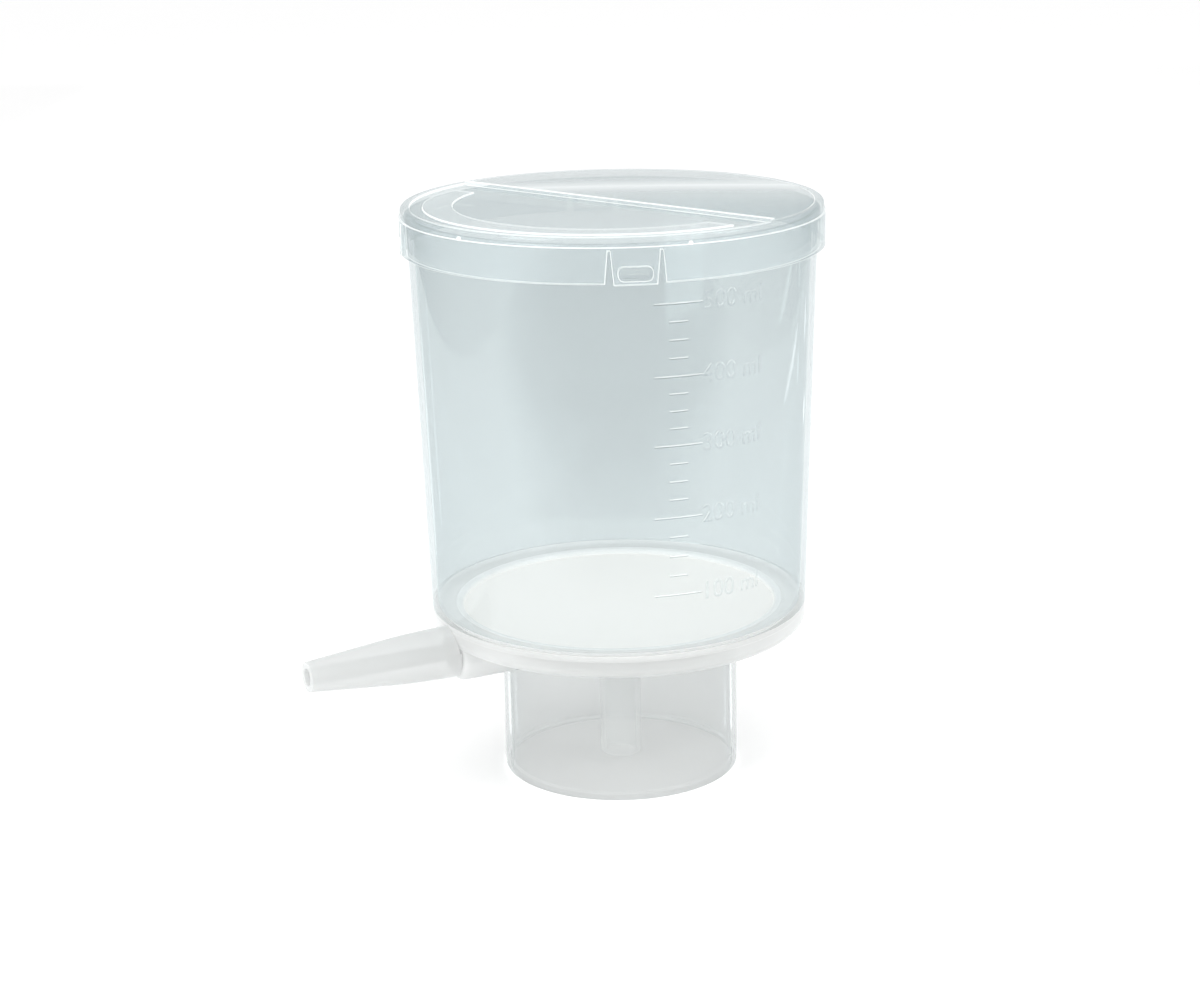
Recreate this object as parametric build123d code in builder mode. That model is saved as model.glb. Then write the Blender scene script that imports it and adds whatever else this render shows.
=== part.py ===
from build123d import *

import os
from math import asin, cos, degrees, radians, sin, tan

# A bottle-top vacuum filtration unit: a clear funnel with a clip-on lid stands on a ribbed dish,
# which carries the membrane, the hose nozzle and the collar that slips over a bottle's neck.
# Millimetres, +Z up. The origin is the centre of the collar's mouth, and the nozzle points along -X.
# Angles are measured from +X, counter-clockwise seen from above.

# Collar over the bottle's neck
collar_bore_r = 26.65
collar_wall = 1.4
collar_height = 36.7  # mouth to the underside of the flange
collar_draft = 0.3  # degrees, the bore narrows upwards
collar_root_chamfer = 0.6
mouth_relief = 0.3  # the mouth is this much wider in radius than the bore
mouth_depth = 2.0
mouth_edge_chamfer = 0.3

# Membrane and the dish that holds it
membrane_r = 37.5
membrane_thickness = 0.2
land_width = 4.1  # flat land outside the membrane
rim_width = 2.9  # weld rim outside the land
seat_width = 0.9  # land under the membrane's edge
clamp_width = 0.45  # membrane edge held under the funnel's lip
flange_height = 4.3
flange_corner_r = 2.0
land_drop = 0.45
floor_thickness = 1.7
floor_fall = 0.5
weld_clearance = 0.05

# Support pad and ribs under the membrane
pad_thickness = 0.8
pad_clearance = 0.2
rib_width = 1.0
rib_root = 0.5  # how far a rib runs into what carries it
long_rib_count = 12
long_rib_start_r = 8.6
middle_rib_start_r = 16.0
short_rib_start_r = 27.0

# Drip tube down the middle of the collar
tube_outer_r = 4.95
tube_wall = 1.3
tube_end_z = 2.35
tube_edge_chamfer = 0.3
drain_flare = 2.0  # the drain widens by this much at the dish's floor

# Seat of the neck gasket, inside the top of the collar
seat_drop = 4.2
seat_ring_r = 15.2
seat_ring_wall = 1.2
seat_rib_count = 8
gasket_thickness = 1.4
gasket_clearance = 0.15

# Vacuum outlet: boss, duct and port
outlet_drop = 1.2  # outlet axis below the underside of the flange
outlet_bore_r = 2.0
boss_r = 7.15
boss_edge_r = 1.9
boss_setback = 0.9
socket_r = 3.6
socket_depth = 6.5
socket_clearance = 0.02
port_r = 1.9
port_distance = 11.0

# Hose nozzle
nozzle_root_r = 6.2
nozzle_root_edge_r = 0.5
nozzle_waist_r = 5.75
nozzle_waist = 12.0  # distance of the waist from the shoulder
nozzle_tip_r = 3.5
nozzle_tip_chamfer = 0.3
nozzle_length = 35.7
nozzle_clearance = 0.1

# Funnel
funnel_wall = 1.4
funnel_draft = 1.6  # degrees
funnel_height = 94.4  # weld seam to rim
ledge_rise = 1.4
ledge_root_chamfer = 0.8
lip_width = 1.7
lip_rise = 1.15
bead_proud = 0.2
bead_height = 2.0
rim_edge_chamfer = 0.25

# Graduations: height of each hundred millilitres above the membrane
mark_heights = {100: 15.4, 200: 33.3, 300: 49.7, 400: 65.2, 500: 81.3}
marks_angle = -99.3  # middle of the scale
long_mark_width = 11.0
short_mark_width = 4.2
mark_thickness = 0.45
mark_relief = 0.16
marks_between = 3

# Lid
lid_clearance = 0.3
lid_thickness = 1.8
skirt_wall = 1.15
skirt_depth = 8.3
shoulder_drop = 2.25
shoulder_step = 0.35
lid_edge_r = 0.8
lip_ring_width = 2.15
recess_depth = 0.6
bar_angle = 112.2  # direction of the bar across the lid
bar_width = 1.1
bar_proud = 0.3
bar_end_gap = 2.0
band_inner_r = 36.5
band_width = 6.8
band_height = 0.4
band_end_gap = 8.7
nub_r = 0.45
nub_angles = (-159.6, -96.6)

# Snap tabs and the lugs that they hook under
tab_count = 4
tab_angle = -110.9
tab_half_width = 5.65
tab_drop = 0.3
notch_width = 2.2
notch_tip_width = 0.5
notch_height = 7.1
window_width = 7.4
window_height = 3.0
window_corner_r = 1.2
window_rise = 2.1  # middle of the window above the skirt's edge
lug_gap = 0.4
lug_clearance = 0.15
lug_catch = 0.9

# Sizes that follow from those above
overshoot = 1.0
collar_outer_r = collar_bore_r + collar_wall
collar_top_r = collar_bore_r - (collar_height - mouth_depth) * tan(radians(collar_draft))
flange_z = collar_height
seam_z = flange_z + flange_height
land_z = seam_z - land_drop
membrane_top_z = land_z + membrane_thickness
pad_z = land_z - pad_thickness
floor_z = flange_z + floor_thickness
dish_r = membrane_r - seat_width
land_r = membrane_r + land_width
flange_r = land_r + rim_width
tube_bore_r = tube_outer_r - tube_wall
drain_mouth_r = tube_bore_r + drain_flare
seat_z = flange_z - seat_drop
outlet_z = flange_z - outlet_drop
duct_r = outlet_z - seat_z
boss_face = flange_r - boss_setback
funnel_slope = tan(radians(funnel_draft))
rim_z = seam_z + funnel_height
rim_r = flange_r + funnel_height * funnel_slope
bead_r = rim_r + bead_proud
lid_inner_r = bead_r + lid_clearance
lid_r = lid_inner_r + skirt_wall
lid_top_z = rim_z + lid_thickness
skirt_z = rim_z - skirt_depth
shoulder_z = lid_top_z - shoulder_drop
lid_crown_r = lid_r - shoulder_step
recess_r = lid_crown_r - lip_ring_width
window_z = skirt_z + window_rise
outlet_axis = Axis((0, 0, outlet_z), (1, 0, 0))


def funnel_r(z):
    """Outer radius of the funnel's drafted wall at a height."""
    return flange_r + (z - seam_z) * funnel_slope


def radial_plane(angle):
    """Upright plane through the axis: its x runs outwards at the angle, its y runs up."""
    return Plane(origin=(0, 0, 0), x_dir=(cos(radians(angle)), sin(radians(angle)), 0),
                 z_dir=(sin(radians(angle)), -cos(radians(angle)), 0))


def facing_plane(angle, distance):
    """Upright plane square to the direction at the angle: its x runs sideways, its y runs up."""
    outwards = Vector(cos(radians(angle)), sin(radians(angle)), 0)
    return Plane(origin=outwards * distance, x_dir=(-outwards.Y, outwards.X, 0), z_dir=outwards)


# Base: collar, flange, dish, drip tube, gasket seat and vacuum outlet in one moulding
with BuildPart() as base:
    # hose boss, which runs under the flange from its edge to the collar
    with BuildSketch(Plane.XZ) as boss_profile:
        with Locations((-boss_face, outlet_z)):
            Rectangle(boss_face - collar_bore_r + collar_wall, boss_r, align=(Align.MIN, Align.MAX))
        fillet(boss_profile.vertices().group_by(Axis.Y)[0].sort_by(Axis.X)[0], boss_edge_r)
    revolve(axis=outlet_axis)
    with Locations((0, 0, flange_z + floor_thickness / 2)):
        Box(4 * flange_r, 4 * boss_r, 2 * boss_r, align=(Align.CENTER, Align.CENTER, Align.MIN),
            mode=Mode.SUBTRACT)

    # outer form of collar and flange
    with BuildSketch(Plane.XZ) as outer_form:
        with BuildLine():
            Polyline(
                (0, 0),
                (collar_outer_r, 0),
                (collar_outer_r, flange_z),
                (flange_r, flange_z),
                (flange_r, seam_z),
                (land_r, seam_z),
                (land_r, land_z),
                (0, land_z),
                close=True,
            )
        make_face()
        chamfer(outer_form.vertices().sort_by_distance((collar_outer_r, 0))[0], mouth_edge_chamfer)
        chamfer(outer_form.vertices().sort_by_distance((collar_outer_r, flange_z))[0], collar_root_chamfer)
        fillet(outer_form.vertices().sort_by_distance((flange_r, flange_z))[0], flange_corner_r)
    revolve(axis=Axis.Z)

    # bore of the collar, with its wider mouth
    with BuildSketch(Plane.XZ):
        with BuildLine():
            Polyline(
                (0, -overshoot),
                (collar_bore_r + mouth_relief, -overshoot),
                (collar_bore_r + mouth_relief, mouth_depth),
                (collar_bore_r, mouth_depth + mouth_relief),
                (collar_top_r, flange_z),
                (0, flange_z),
                close=True,
            )
        make_face()
    revolve(axis=Axis.Z, mode=Mode.SUBTRACT)

    # drip tube
    with BuildSketch(Plane.XZ) as tube_profile:
        with Locations((0, tube_end_z)):
            Rectangle(tube_outer_r, floor_z - tube_end_z, align=(Align.MIN, Align.MIN))
        chamfer(tube_profile.vertices().sort_by_distance((tube_outer_r, tube_end_z))[0], tube_edge_chamfer)
    revolve(axis=Axis.Z)

    # seat of the neck gasket: a ring wall and radial ribs under the dish
    with BuildSketch(Plane.XY.offset(seat_z)):
        Circle(seat_ring_r + seat_ring_wall)
        Circle(seat_ring_r, mode=Mode.SUBTRACT)
        with PolarLocations((seat_ring_r + collar_outer_r) / 2, seat_rib_count):
            Rectangle(collar_outer_r - seat_ring_r - 2 * collar_wall / 3, seat_ring_wall)
    extrude(amount=seat_drop + rib_root)

    # duct from the boss to the port beside the drip tube
    with BuildSketch(Plane.YZ.offset(-collar_bore_r)):
        with Locations((0, outlet_z)):
            Circle(duct_r)
    extrude(amount=collar_bore_r - tube_bore_r)

    # dish, with a floor that falls to the drain
    with BuildSketch(Plane.XZ):
        with BuildLine():
            Polyline(
                (0, seam_z + overshoot),
                (dish_r, seam_z + overshoot),
                (dish_r, floor_z + floor_fall),
                (drain_mouth_r, floor_z),
                (0, floor_z),
                close=True,
            )
        make_face()
    revolve(axis=Axis.Z, mode=Mode.SUBTRACT)

    # ribs that carry the support pad, with shorter ones between as they spread
    rib_starts = (long_rib_start_r, middle_rib_start_r, short_rib_start_r, short_rib_start_r)
    rib_turns = (0, 180, 90, 270)
    for rib_start, rib_turn in zip(rib_starts, rib_turns):
        with BuildSketch(Plane.XY.offset(floor_z - rib_root)):
            with PolarLocations((rib_start + dish_r + rib_root) / 2, long_rib_count,
                                start_angle=rib_turn / long_rib_count):
                Rectangle(dish_r + rib_root - rib_start, rib_width)
        extrude(amount=pad_z - floor_z + rib_root)

    # drain: a flared mouth, then the bore of the drip tube
    with BuildSketch(Plane.XZ):
        with BuildLine():
            Polyline(
                (0, floor_z + overshoot),
                (0, tube_end_z - overshoot),
                (tube_bore_r, tube_end_z - overshoot),
                (tube_bore_r, floor_z - drain_flare),
                (drain_mouth_r, floor_z),
                (drain_mouth_r, floor_z + overshoot),
                close=True,
            )
        make_face()
    revolve(axis=Axis.Z, mode=Mode.SUBTRACT)

    # vacuum passage, the socket for the nozzle and the port down into the bottle
    with BuildSketch(Plane.YZ.offset(-port_distance)):
        with Locations((0, outlet_z)):
            Circle(outlet_bore_r)
    extrude(amount=-boss_face, mode=Mode.SUBTRACT)
    with BuildSketch(Plane.YZ.offset(socket_depth - boss_face)):
        with Locations((0, outlet_z)):
            Circle(socket_r + socket_clearance)
    extrude(amount=-2 * socket_depth, mode=Mode.SUBTRACT)
    with BuildSketch(Plane.XY.offset(outlet_z)):
        with Locations((-port_distance, 0)):
            Circle(port_r)
    extrude(amount=-2 * duct_r, mode=Mode.SUBTRACT)

# Hose nozzle: a tapered tube whose spigot sits in the boss, hollowed where it meets the flange
with BuildPart() as hose_nozzle:
    with BuildSketch(Plane.XZ) as taper:
        with BuildLine():
            Polyline(
                (-boss_face - nozzle_length, outlet_z),
                (-boss_face, outlet_z),
                (-boss_face, outlet_z + nozzle_root_r),
                (-boss_face - nozzle_waist, outlet_z + nozzle_waist_r),
                (-boss_face - nozzle_length, outlet_z + nozzle_tip_r),
                close=True,
            )
        make_face()
        top_corners = taper.vertices().filter_by(lambda v: v.Y > outlet_z + nozzle_tip_r / 2).sort_by(Axis.X)
        chamfer(top_corners[0], nozzle_tip_chamfer)
        fillet(top_corners[1], nozzle_length - nozzle_waist)
        fillet(top_corners[2], nozzle_root_edge_r)
    revolve(axis=outlet_axis)
    with Locations((0, 0, flange_z - nozzle_clearance)):
        Cylinder(flange_r + nozzle_clearance, 2 * nozzle_root_r,
                 align=(Align.CENTER, Align.CENTER, Align.MIN), mode=Mode.SUBTRACT)
    with BuildSketch(Plane.YZ.offset(socket_depth - boss_face - nozzle_clearance)):
        with Locations((0, outlet_z)):
            Circle(socket_r)
    extrude(amount=-socket_depth - 2 * boss_setback)
    with BuildSketch(Plane.YZ.offset(socket_depth - boss_face)):
        with Locations((0, outlet_z)):
            Circle(outlet_bore_r)
    extrude(amount=-socket_depth - nozzle_length - overshoot, mode=Mode.SUBTRACT)

# Soft ring that seals on the bottle's mouth
with BuildPart() as neck_gasket:
    with BuildSketch(Plane.XY.offset(seat_z)):
        Circle(collar_top_r - gasket_clearance)
        Circle(seat_ring_r, mode=Mode.SUBTRACT)
    extrude(amount=-gasket_thickness)

# Porous pad on the ribs
with BuildPart() as support_pad:
    with BuildSketch(Plane.XY.offset(pad_z)):
        Circle(dish_r - pad_clearance)
    extrude(amount=pad_thickness)

# Membrane, its edge on the dish's land
with BuildPart() as membrane:
    with BuildSketch(Plane.XY.offset(land_z)):
        Circle(membrane_r)
    extrude(amount=membrane_thickness)

# Funnel: a drafted wall with a floor ledge whose lip clamps the membrane
with BuildPart() as funnel:
    with BuildSketch(Plane.XZ) as wall_profile:
        lip_r = membrane_r - clamp_width
        ledge_z = seam_z + ledge_rise
        bead_z = rim_z - bead_height
        ledge_corner = (funnel_r(ledge_z) - funnel_wall, ledge_z)
        with BuildLine():
            Polyline(
                (membrane_r + weld_clearance, land_z),
                (land_r - weld_clearance, land_z),
                (land_r - weld_clearance, seam_z),
                (flange_r, seam_z),
                (funnel_r(bead_z - bead_proud), bead_z - bead_proud),
                (bead_r, bead_z),
                (bead_r, rim_z),
                (rim_r - funnel_wall, rim_z),
                ledge_corner,
                (lip_r + lip_width, membrane_top_z + lip_rise / 2),
                (lip_r + 2 * lip_width / 3, membrane_top_z + lip_rise),
                (lip_r + lip_width / 3, membrane_top_z + lip_rise),
                (lip_r, membrane_top_z + lip_rise / 3),
                (lip_r, membrane_top_z),
                (membrane_r + weld_clearance, membrane_top_z),
                close=True,
            )
        make_face()
        chamfer(wall_profile.vertices().sort_by_distance(ledge_corner)[0], ledge_root_chamfer)
        chamfer(wall_profile.vertices().group_by(Axis.Y)[-1], rim_edge_chamfer)
    revolve(axis=Axis.Z)

    # lugs behind the windows of the lid's tabs: flat below, sloped above
    lug_height = window_height - 2 * lug_gap
    lug_arc = 2 * degrees(asin((window_width / 2 - lug_gap) / lid_inner_r))
    for tab in range(tab_count):
        lug_turn = tab_angle + tab * 360 / tab_count
        with BuildSketch(radial_plane(lug_turn - lug_arc / 2)):
            with BuildLine():
                Polyline(
                    (rim_r - funnel_wall, window_z - lug_height / 2),
                    (lid_inner_r - lug_clearance, window_z - lug_height / 2),
                    (lid_inner_r - lug_clearance, window_z - lug_height / 2 + lug_catch),
                    (rim_r - funnel_wall, window_z + lug_height),
                    close=True,
                )
            make_face()
        revolve(axis=Axis.Z, revolution_arc=lug_arc)

    # raised graduation marks, one every quarter of a hundred
    mark_steps = sorted(mark_heights)
    mark_list = [(mark_heights[mark_steps[0]], long_mark_width)]
    for low, high in zip(mark_steps, mark_steps[1:]):
        step = (mark_heights[high] - mark_heights[low]) / (marks_between + 1)
        mark_list += [(mark_heights[low] + step * (i + 1), short_mark_width) for i in range(marks_between)]
        mark_list += [(mark_heights[high], long_mark_width)]
    for height, width in mark_list:
        mark_z = membrane_top_z + height
        mark_arc = degrees(width / funnel_r(mark_z))
        with BuildSketch(radial_plane(marks_angle - mark_arc / 2)):
            with BuildLine():
                Polyline(
                    (funnel_r(mark_z) - funnel_wall / 2, mark_z - mark_thickness / 2),
                    (funnel_r(mark_z) + mark_relief, mark_z - mark_thickness / 4),
                    (funnel_r(mark_z) + mark_relief, mark_z + mark_thickness / 4),
                    (funnel_r(mark_z) - funnel_wall / 2, mark_z + mark_thickness / 2),
                    close=True,
                )
            make_face()
        revolve(axis=Axis.Z, revolution_arc=mark_arc)

# Lid: a flat cap with a bar across it, a sunk half with a raised band, and a skirt with snap tabs
with BuildPart() as lid:
    with BuildSketch(Plane.XZ) as cap_profile:
        with BuildLine():
            Polyline(
                (0, rim_z),
                (lid_inner_r, rim_z),
                (lid_inner_r, skirt_z - tab_drop),
                (lid_r, skirt_z - tab_drop),
                (lid_r, shoulder_z),
                (lid_crown_r, shoulder_z),
                (lid_crown_r, lid_top_z),
                (0, lid_top_z),
                close=True,
            )
        make_face()
        fillet(cap_profile.vertices().group_by(Axis.Y)[-1].sort_by(Axis.X)[-1], lid_edge_r)
    revolve(axis=Axis.Z)

    # sunk half inside the rim, then the band that stands in it
    lid_plane = Plane(origin=(0, 0, lid_top_z), x_dir=(cos(radians(bar_angle)), sin(radians(bar_angle)), 0),
                      z_dir=(0, 0, 1))
    with BuildSketch(lid_plane):
        Circle(recess_r)
        Rectangle(2 * lid_r, lid_r, align=(Align.CENTER, Align.MAX), mode=Mode.SUBTRACT)
    extrude(amount=-recess_depth, mode=Mode.SUBTRACT)
    with BuildSketch(lid_plane.offset(-recess_depth)):
        Circle(band_inner_r + band_width)
        Circle(band_inner_r, mode=Mode.SUBTRACT)
        with Locations((0, band_end_gap)):
            Rectangle(2 * lid_r, 2 * lid_r, align=(Align.CENTER, Align.MAX), mode=Mode.SUBTRACT)
    extrude(amount=band_height)

    # bar along the diameter between the two halves
    with BuildSketch(lid_plane.offset(-recess_depth)):
        SlotOverall(2 * (lid_crown_r - bar_end_gap), bar_width)
    extrude(amount=recess_depth + bar_proud)

    # two small nubs on the shoulder
    with BuildSketch(Plane.XY.offset(shoulder_z)):
        for nub_angle in nub_angles:
            with PolarLocations(lid_crown_r, 1, start_angle=nub_angle):
                Circle(nub_r)
    extrude(amount=shoulder_drop - lid_edge_r)

    # tabs between two notches: the skirt reaches a little lower, with a window in the middle
    tab_arc = 2 * degrees(asin(tab_half_width / lid_r))
    for tab in range(tab_count):
        tab_turn = tab_angle + tab * 360 / tab_count
        with BuildSketch(radial_plane(tab_turn + tab_arc / 2)):
            with Locations((lid_inner_r - overshoot, skirt_z)):
                Rectangle(skirt_wall + 2 * overshoot, tab_drop + overshoot, align=(Align.MIN, Align.MAX))
        revolve(axis=Axis.Z, revolution_arc=360 / tab_count - tab_arc, mode=Mode.SUBTRACT)
        with BuildSketch(facing_plane(tab_turn, lid_inner_r * cos(radians(tab_arc)))):
            for side in (-1, 1):
                with BuildLine():
                    Polyline(
                        (side * tab_half_width - notch_width / 2, skirt_z - tab_drop - overshoot),
                        (side * tab_half_width + notch_width / 2, skirt_z - tab_drop - overshoot),
                        (side * tab_half_width + notch_width / 2, skirt_z),
                        (side * tab_half_width + notch_tip_width / 2, skirt_z + notch_height),
                        (side * tab_half_width - notch_tip_width / 2, skirt_z + notch_height),
                        (side * tab_half_width - notch_width / 2, skirt_z),
                        close=True,
                    )
                make_face()
            with Locations((0, window_z)):
                RectangleRounded(window_width, window_height, window_corner_r)
        extrude(amount=4 * skirt_wall, mode=Mode.SUBTRACT)

os.makedirs("parts", exist_ok=True)
pieces = {
    "base": base,
    "hose_nozzle": hose_nozzle,
    "neck_gasket": neck_gasket,
    "support_pad": support_pad,
    "membrane": membrane,
    "funnel": funnel,
    "lid": lid,
}
for name, piece in pieces.items():
    piece.part.label = name
    export_step(piece.part, f"parts/{name}.step")
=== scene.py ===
import math

import bmesh
import bpy
from mathutils import Matrix, Vector


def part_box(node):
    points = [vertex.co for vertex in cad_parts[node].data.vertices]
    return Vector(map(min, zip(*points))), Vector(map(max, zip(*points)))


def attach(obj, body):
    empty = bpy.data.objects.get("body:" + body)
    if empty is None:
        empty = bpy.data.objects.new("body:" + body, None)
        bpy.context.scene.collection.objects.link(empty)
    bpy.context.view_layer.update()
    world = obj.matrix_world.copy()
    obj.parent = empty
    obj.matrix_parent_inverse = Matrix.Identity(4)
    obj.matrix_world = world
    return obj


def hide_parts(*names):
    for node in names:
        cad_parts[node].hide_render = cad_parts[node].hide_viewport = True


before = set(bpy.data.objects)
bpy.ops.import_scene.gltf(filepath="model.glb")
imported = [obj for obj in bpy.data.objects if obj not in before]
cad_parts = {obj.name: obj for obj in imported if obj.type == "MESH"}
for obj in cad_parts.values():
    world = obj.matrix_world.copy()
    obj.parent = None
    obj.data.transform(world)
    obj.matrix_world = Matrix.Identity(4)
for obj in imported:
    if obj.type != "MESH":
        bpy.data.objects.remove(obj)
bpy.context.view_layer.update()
mm = 0.001
white = (1, 1, 1, 1)

# Places and sizes that the pieces share, read from the frame
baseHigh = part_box("base")[1]
funnelLow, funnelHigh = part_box("funnel")
lidLow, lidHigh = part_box("lid")
membraneLow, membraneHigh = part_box("membrane")
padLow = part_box("support_pad")[0]
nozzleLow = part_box("hose_nozzle")[0]
seamZ = baseHigh.z
landZ = membraneLow.z
membraneTop = membraneHigh.z
flangeRadius = baseHigh.x
rimZ = funnelHigh.z
beadRadius = (funnelHigh.x - funnelLow.x) / 2
lidRadius = (lidHigh.x - lidLow.x) / 2
membraneRadius = (membraneHigh.x - membraneLow.x) / 2
print("frame loaded, rim", round(rimZ / mm, 2), "mm above the mouth")


# Shader maths: +, -, * and ** on a Wire add Math nodes
class Wire:
    def __init__(self, graph, socket):
        self.graph = graph
        self.socket = socket

    def maths(self, operation, other, swapped=False):
        pair = (other, self) if swapped else (self, other)
        return self.graph.node("ShaderNodeMath", {"operation": operation}, {0: pair[0], 1: pair[1]})

    def __add__(self, other):
        return self.maths("ADD", other)

    def __sub__(self, other):
        return self.maths("SUBTRACT", other)

    def __mul__(self, other):
        return self.maths("MULTIPLY", other)

    def __pow__(self, other):
        return self.maths("POWER", other)

    def __radd__(self, other):
        return self.maths("ADD", other, True)

    def __rsub__(self, other):
        return self.maths("SUBTRACT", other, True)

    def __rmul__(self, other):
        return self.maths("MULTIPLY", other, True)


# One material's nodes
class Graph:
    def __init__(self, name):
        self.material = bpy.data.materials.new(name)
        self.material.use_nodes = True
        self.tree = self.material.node_tree
        self.tree.nodes.clear()

    def node(self, kind, settings=None, inputs=None, output=0):
        made = self.tree.nodes.new(kind)
        for key, value in (settings or {}).items():
            setattr(made, key, value)
        for key, value in (inputs or {}).items():
            if isinstance(value, Wire):
                self.tree.links.new(value.socket, made.inputs[key])
            else:
                made.inputs[key].default_value = value
        return Wire(self, made.outputs[output]) if made.outputs else None

    def spot(self):
        return self.node("ShaderNodeTexCoord", output="Object")

    def along(self, axis, turn=0):
        # how far along this axis, after a turn about the upright one
        spot = self.spot()
        if turn:
            spot = self.node("ShaderNodeMapping", {}, {"Vector": spot, "Rotation": (0, 0, turn)})
        return self.node("ShaderNodeSeparateXYZ", {}, {0: spot}, axis)

    def noise(self, scale, detail=2, rough=0.5, stretch=(1, 1, 1)):
        place = self.node("ShaderNodeMapping", {}, {"Vector": self.spot(), "Scale": stretch})
        return self.node("ShaderNodeTexNoise", {}, {
            "Vector": place, "Scale": scale, "Detail": detail, "Roughness": rough})

    def facing(self):
        # 0 seen square on, 1 at grazing angles
        return self.node("ShaderNodeLayerWeight", {}, {"Blend": 0.5}, "Facing")

    def between(self, value, start, end):
        # 0 at start, 1 at end, both in millimetres
        return self.node("ShaderNodeMapRange", {}, {
            "Value": value, "From Min": start * mm, "From Max": end * mm})

    def bump(self, height, depth, strength):
        # depth in millimetres
        return self.node("ShaderNodeBump", {}, {
            "Height": height, "Distance": depth * mm, "Strength": strength})

    def blendColour(self, share, first, second):
        return self.node("ShaderNodeMix", {"data_type": "RGBA"}, {0: share, 6: first, 7: second}, 2)

    def seeThrough(self, tint, mirrored, gloss):
        # lets tinted light through and mirrors a share of it
        through = self.node("ShaderNodeBsdfTransparent", {}, {"Color": tint})
        return self.mixed(mirrored, through, gloss)

    def mixed(self, share, first, second):
        return self.node("ShaderNodeMixShader", {}, {0: share, 1: first, 2: second})

    def surface(self, shader):
        self.node("ShaderNodeOutputMaterial", {}, {"Surface": shader})
        return self.material


# Materials
refraction = 1.49  # of the plastics
grazing = 5  # how fast a mirrored share grows towards grazing angles

clearLook = {
    "tint": (0.865, 0.888, 0.892, 1),  # what each face lets through
    "shine": (0.76, 0.80, 0.81, 1),
    "shineRoughness": 0.05,
    "faceOn": 0.055,  # share mirrored by a face seen square on
    "milk": (0.80, 0.86, 0.87, 1),
    "milkShare": 0.03,  # whiteness of the wall
    "milkRoughness": 0.25,
    "edgeShare": 0.72,
    "edgePower": 13.0,
    "streaks": 160,  # upright flow streaks to a metre
    "streakStretch": (1, 1, 0.18),
    "wave": 0.005,
    "waveStrength": 0.3,
    "specks": 900,
    "speckFrom": 0.72,  # fine scuffs, fewer with a higher value
    "speckFade": 0.04,
    "speckShare": 0.2,
}


def clearPlastic(name, **changes):
    look = {**clearLook, **changes}
    g = Graph(name)
    facing = g.facing()
    streaks = g.noise(look["streaks"], detail=3, rough=0.6, stretch=look["streakStretch"])
    gloss = g.node("ShaderNodeBsdfAnisotropic", {}, {
        "Color": look["shine"],
        "Roughness": look["shineRoughness"],
        "Normal": g.bump(streaks, look["wave"], look["waveStrength"]),
    })
    mirrored = look["faceOn"] + (1 - look["faceOn"]) * facing ** grazing
    clearPart = g.seeThrough(look["tint"], mirrored, gloss)
    milk = g.node("ShaderNodeBsdfPrincipled", {}, {
        "Base Color": look["milk"], "Roughness": look["milkRoughness"], "IOR": refraction})
    specks = g.node("ShaderNodeMapRange", {}, {
        "Value": g.noise(look["specks"], detail=3, rough=0.7),
        "From Min": look["speckFrom"],
        "From Max": look["speckFrom"] + look["speckFade"],
        "To Max": look["speckShare"],
    })
    share = look["milkShare"] + specks + look["edgeShare"] * facing ** look["edgePower"]
    return g.surface(g.mixed(share, clearPart, milk))


lidLook = {
    "tint": (0.94, 0.955, 0.958, 1),
    "shine": (0.50, 0.55, 0.56, 1),
    "milk": (0.88, 0.93, 0.94, 1),
    "milkShare": 0.11,
    "faceOn": 0.04,
    "wave": 0.001,
    "speckFrom": 0.74,
    "speckShare": 0.3,
}
lidMilk = {"half": 0.085, "band": 0.22}  # whiteness of the raised half and of the band

# painted light: rounded edges, the weld and other bright places get a whiter, self-lit material, so they
# look lighter than the walls
edgeLook = {
    "tint": (0.95, 0.96, 0.96, 1),
    "milk": (0.88, 0.89, 0.885, 1),
    # self-lit share: painted light
    "glow": 0.22,
    "roughness": 0.3,
    "patches": 220,
}


def brightEdge(name, cover, patchiness=0.2, glow=edgeLook["glow"], milk=edgeLook["milk"]):
    g = Graph(name)
    # whiter body that lights itself: painted light
    milky = g.node("ShaderNodeBsdfPrincipled", {}, {
        "Base Color": milk, "Roughness": edgeLook["roughness"],
        "Emission Color": milk, "Emission Strength": glow})
    patches = cover + patchiness * (g.noise(edgeLook["patches"]) - 0.5)
    return g.surface(g.seeThrough(edgeLook["tint"], patches, milky))


frostLook = {
    "colour": (0.64, 0.65, 0.645, 1),
    "nozzleColour": (0.60, 0.61, 0.605, 1),
    "tint": (0.90, 0.905, 0.905, 1),
    "thin": 0.09,  # whiteness of the collar's wall
    "thick": 0.5,  # and of the thick flange, boss and nozzle
    "thinBelow": 36.5,  # where the wall is thin: below this height,
    "thinFrom": 12.0,  # and between these radii
    "thinTo": 29.5,
    "thinFade": (0.8, 2.0, 0.5),  # half of each change
    "mirror": 0.045,
    "mirrorRoughness": 0.12,
    "edgeShare": 0.3,
    "edgePower": 6.0,
    "roughness": 0.32,
    "grain": 900,
    "grainRoughness": 0.1,
    "grainDepth": 0.003,
    "grainStrength": 0.3,
    "depth": 2.0,  # how far light wanders under the surface
    "depthShare": 0.4,
    # self-lit share of the frosted body: painted light
    "glow": 0.17,
}
# painted light: the self-lit glow turns white towards the joint of boss and nozzle, on either side of it
bossJointLight = {"far": 30, "near": 42}
nozzleJointLight = {"far": 50, "near": 44.5}


def thinWall(g):
    # 1 in the collar's thin wall, 0 in the flange and the drip tube
    look = frostLook
    flat = g.node("ShaderNodeVectorMath", {"operation": "MULTIPLY"}, {0: g.spot(), 1: (1, 1, 0)})
    radius = g.node("ShaderNodeVectorMath", {"operation": "LENGTH"}, {0: flat}, "Value")
    upFade, inFade, outFade = look["thinFade"]
    return (g.between(g.along("Z"), look["thinBelow"] + upFade, look["thinBelow"] - upFade)
            * g.between(radius, look["thinFrom"] - inFade, look["thinFrom"] + inFade)
            * g.between(radius, look["thinTo"] + outFade, look["thinTo"] - outFade))


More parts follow.
